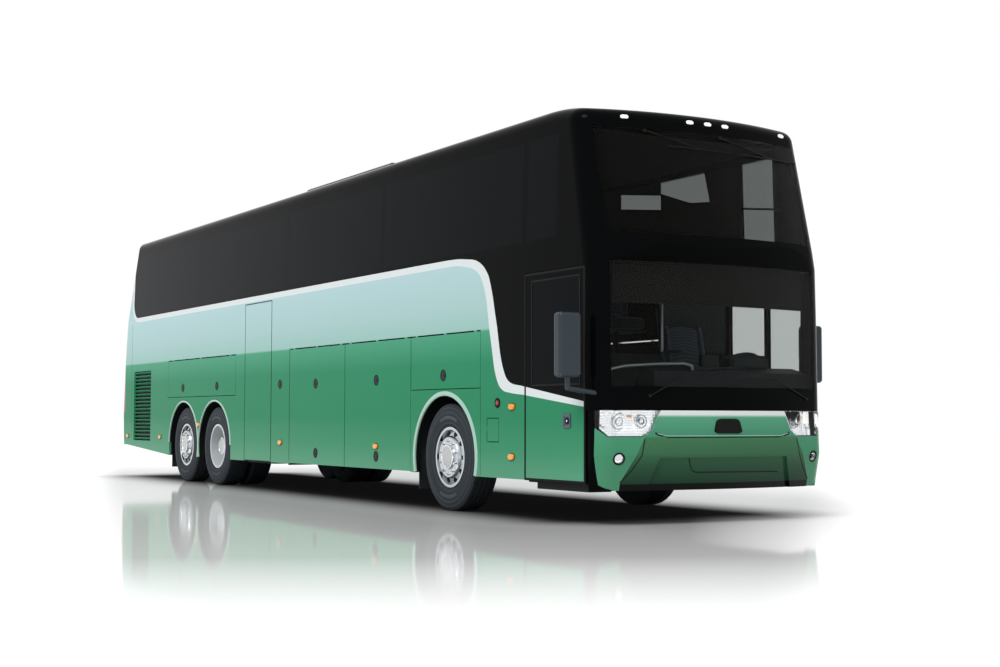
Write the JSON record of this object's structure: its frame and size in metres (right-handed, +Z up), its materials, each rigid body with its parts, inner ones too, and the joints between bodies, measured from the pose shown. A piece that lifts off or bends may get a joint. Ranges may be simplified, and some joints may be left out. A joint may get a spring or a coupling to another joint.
{
  "type": "three-axle touring coach",
  "caption": "High-deck touring coach, green below and gloss black above, with a split windscreen, swing doors, top-hung luggage flaps and steered front wheels.",
  "frame": {"origin": "on the ground below the middle of the bounding box", "axes": "+X forward to the nose, +Y to the bus's left side, +Z up"},
  "size_m": [14.0398, 3.24, 3.7998],
  "materials": {
    "black_gloss": "gloss",
    "cast_metal": "satin",
    "clear_glass": "gloss",
    "dark_glass": "gloss",
    "floor_cover": "satin",
    "green_paint": "gloss",
    "lamp_lens": "gloss",
    "painted_steel": "gloss",
    "polished_alloy": "satin",
    "red_lens": "gloss",
    "seat_fabric": "satin",
    "silver_paint": "gloss",
    "trim_plastic": "satin",
    "tyre_rubber": "satin"
  },
  "bodies": {
    "coach_body": {"chassis_frame": "painted_steel", "dashboard": "trim_plastic", "deck_floor": "floor_cover", "engine_block": "cast_metal", "entrance_steps": "floor_cover", "front_axle": "cast_metal", "front_bumper": "green_paint", "front_frame": "black_gloss", "front_lamps": "lamp_lens", "hold_walls": "floor_cover", "louvres": "silver_paint", "mirrors": "black_gloss", "rear_axles": "cast_metal", "rear_lamps": "red_lens", "rear_wall": "green_paint", "rear_window": "dark_glass", "roof_shell": "black_gloss", "roof_unit": "black_gloss", "seats_left": "seat_fabric", "seats_right": "seat_fabric", "side_glass_left": "dark_glass", "side_glass_right": "dark_glass", "side_wall_left": "green_paint", "side_wall_right": "green_paint", "steering_wheel": "trim_plastic", "wheel_houses": "trim_plastic", "window_frame_left": "black_gloss", "window_frame_right": "black_gloss", "windscreens": "clear_glass", "wipers": "black_gloss"},
    "front_wheel_left": {"front_tyre_left": "tyre_rubber", "front_rim_left": "polished_alloy"},
    "front_wheel_right": {"front_tyre_right": "tyre_rubber", "front_rim_right": "polished_alloy"},
    "drive_wheel_left": {"drive_tyres_left": "tyre_rubber", "drive_rims_left": "polished_alloy"},
    "drive_wheel_right": {"drive_tyres_right": "tyre_rubber", "drive_rims_right": "polished_alloy"},
    "tag_wheel_left": {"tag_tyre_left": "tyre_rubber", "tag_rim_left": "polished_alloy"},
    "tag_wheel_right": {"tag_tyre_right": "tyre_rubber", "tag_rim_right": "polished_alloy"},
    "knuckle_left": {"knuckle_left": "cast_metal"},
    "knuckle_right": {"knuckle_right": "cast_metal"},
    "front_door_arm": {"front_door_arm": "painted_steel"},
    "front_door": {"front_door": "green_paint", "front_door_glass": "dark_glass"},
    "mid_door_arm": {"mid_door_arm": "painted_steel"},
    "mid_door": {"mid_door": "green_paint"},
    "engine_door": {"engine_door": "green_paint"},
    "filler_flap": {"filler_flap": "green_paint"},
    "hold_door_rear_right": {"hold_door_rear_right": "green_paint"},
    "hold_door_rear_left": {"hold_door_rear_left": "green_paint"},
    "hold_door_front_right": {"hold_door_front_right": "green_paint"},
    "hold_door_front_left": {"hold_door_front_left": "green_paint"},
    "wheel_flap_right": {"wheel_flap_right": "green_paint"},
    "wheel_flap_left": {"wheel_flap_left": "green_paint"},
    "rear_flap_right": {"rear_flap_right": "green_paint"},
    "rear_flap_left": {"rear_flap_left": "green_paint"}
  },
  "joints": [
    {"name": "steer_left", "type": "hinge", "parent": "coach_body", "child": "knuckle_left", "pos_m": [4.18, 0.9, 0.53], "axis": [0, 0, 1], "range_deg": [-45, 45]},
    {"name": "steer_right", "type": "hinge", "parent": "coach_body", "child": "knuckle_right", "pos_m": [4.18, -0.9, 0.53], "axis": [0, 0, 1], "range_deg": [-45, 45]},
    {"name": "front_wheel_left_spin", "type": "hinge", "parent": "knuckle_left", "child": "front_wheel_left", "pos_m": [4.18, 1.1075, 0.53], "axis": [0, 1, 0], "continuous": true},
    {"name": "front_wheel_right_spin", "type": "hinge", "parent": "knuckle_right", "child": "front_wheel_right", "pos_m": [4.18, -1.1075, 0.53], "axis": [0, 1, 0], "continuous": true},
    {"name": "drive_wheel_left_spin", "type": "hinge", "parent": "coach_body", "child": "drive_wheel_left", "pos_m": [-2.52, 1.1075, 0.53], "axis": [0, 1, 0], "continuous": true},
    {"name": "drive_wheel_right_spin", "type": "hinge", "parent": "coach_body", "child": "drive_wheel_right", "pos_m": [-2.52, -1.1075, 0.53], "axis": [0, 1, 0], "continuous": true},
    {"name": "tag_wheel_left_spin", "type": "hinge", "parent": "coach_body", "child": "tag_wheel_left", "pos_m": [-3.82, 1.1075, 0.53], "axis": [0, 1, 0], "continuous": true},
    {"name": "tag_wheel_right_spin", "type": "hinge", "parent": "coach_body", "child": "tag_wheel_right", "pos_m": [-3.82, -1.1075, 0.53], "axis": [0, 1, 0], "continuous": true},
    {"name": "front_door_swing", "type": "hinge", "parent": "coach_body", "child": "front_door_arm", "pos_m": [5.78, -1.165, 1.3], "axis": [0, 0, -1], "range_deg": [0, 110]},
    {"name": "front_door_level", "type": "hinge", "parent": "front_door_arm", "child": "front_door", "pos_m": [6.3, -1.165, 1.3], "axis": [0, 0, -1], "range_deg": [-110, 0]},
    {"name": "mid_door_swing", "type": "hinge", "parent": "coach_body", "child": "mid_door_arm", "pos_m": [-0.59, -1.165, 1.3], "axis": [0, 0, 1], "range_deg": [0, 110]},
    {"name": "mid_door_level", "type": "hinge", "parent": "mid_door_arm", "child": "mid_door", "pos_m": [-1.01, -1.165, 1.3], "axis": [0, 0, 1], "range_deg": [-110, 0]},
    {"name": "hold_door_rear_right_lift", "type": "hinge", "parent": "coach_body", "child": "hold_door_rear_right", "pos_m": [0.925, -1.271, 1.752], "axis": [-1, 0, 0], "range_deg": [0, 90]},
    {"name": "hold_door_rear_left_lift", "type": "hinge", "parent": "coach_body", "child": "hold_door_rear_left", "pos_m": [0.925, 1.271, 1.752], "axis": [1, 0, 0], "range_deg": [0, 90]},
    {"name": "hold_door_front_right_lift", "type": "hinge", "parent": "coach_body", "child": "hold_door_front_right", "pos_m": [2.565, -1.271, 1.752], "axis": [-1, 0, 0], "range_deg": [0, 90]},
    {"name": "hold_door_front_left_lift", "type": "hinge", "parent": "coach_body", "child": "hold_door_front_left", "pos_m": [2.565, 1.271, 1.752], "axis": [1, 0, 0], "range_deg": [0, 90]},
    {"name": "wheel_flap_right_lift", "type": "hinge", "parent": "coach_body", "child": "wheel_flap_right", "pos_m": [4.125, -1.271, 1.752], "axis": [-1, 0, 0], "range_deg": [0, 90]},
    {"name": "wheel_flap_left_lift", "type": "hinge", "parent": "coach_body", "child": "wheel_flap_left", "pos_m": [4.125, 1.271, 1.752], "axis": [1, 0, 0], "range_deg": [0, 90]},
    {"name": "rear_flap_right_lift", "type": "hinge", "parent": "coach_body", "child": "rear_flap_right", "pos_m": [-3.175, -1.271, 1.752], "axis": [-1, 0, 0], "range_deg": [0, 90]},
    {"name": "rear_flap_left_lift", "type": "hinge", "parent": "coach_body", "child": "rear_flap_left", "pos_m": [-3.175, 1.271, 1.752], "axis": [1, 0, 0], "range_deg": [0, 90]},
    {"name": "engine_door_lift", "type": "hinge", "parent": "coach_body", "child": "engine_door", "pos_m": [-6.97035, 0, 1.492], "axis": [0, 1, 0], "range_deg": [0, 80]},
    {"name": "filler_flap_swing", "type": "hinge", "parent": "coach_body", "child": "filler_flap", "pos_m": [4.988, -1.271, 0.805], "axis": [0, 0, -1], "range_deg": [0, 90]}
  ],
  "couplings": [
    {"joint": "steer_right", "follows": "steer_left", "ratio": 1},
    {"joint": "front_door_level", "follows": "front_door_swing", "ratio": -1},
    {"joint": "mid_door_level", "follows": "mid_door_swing", "ratio": -1}
  ]
}
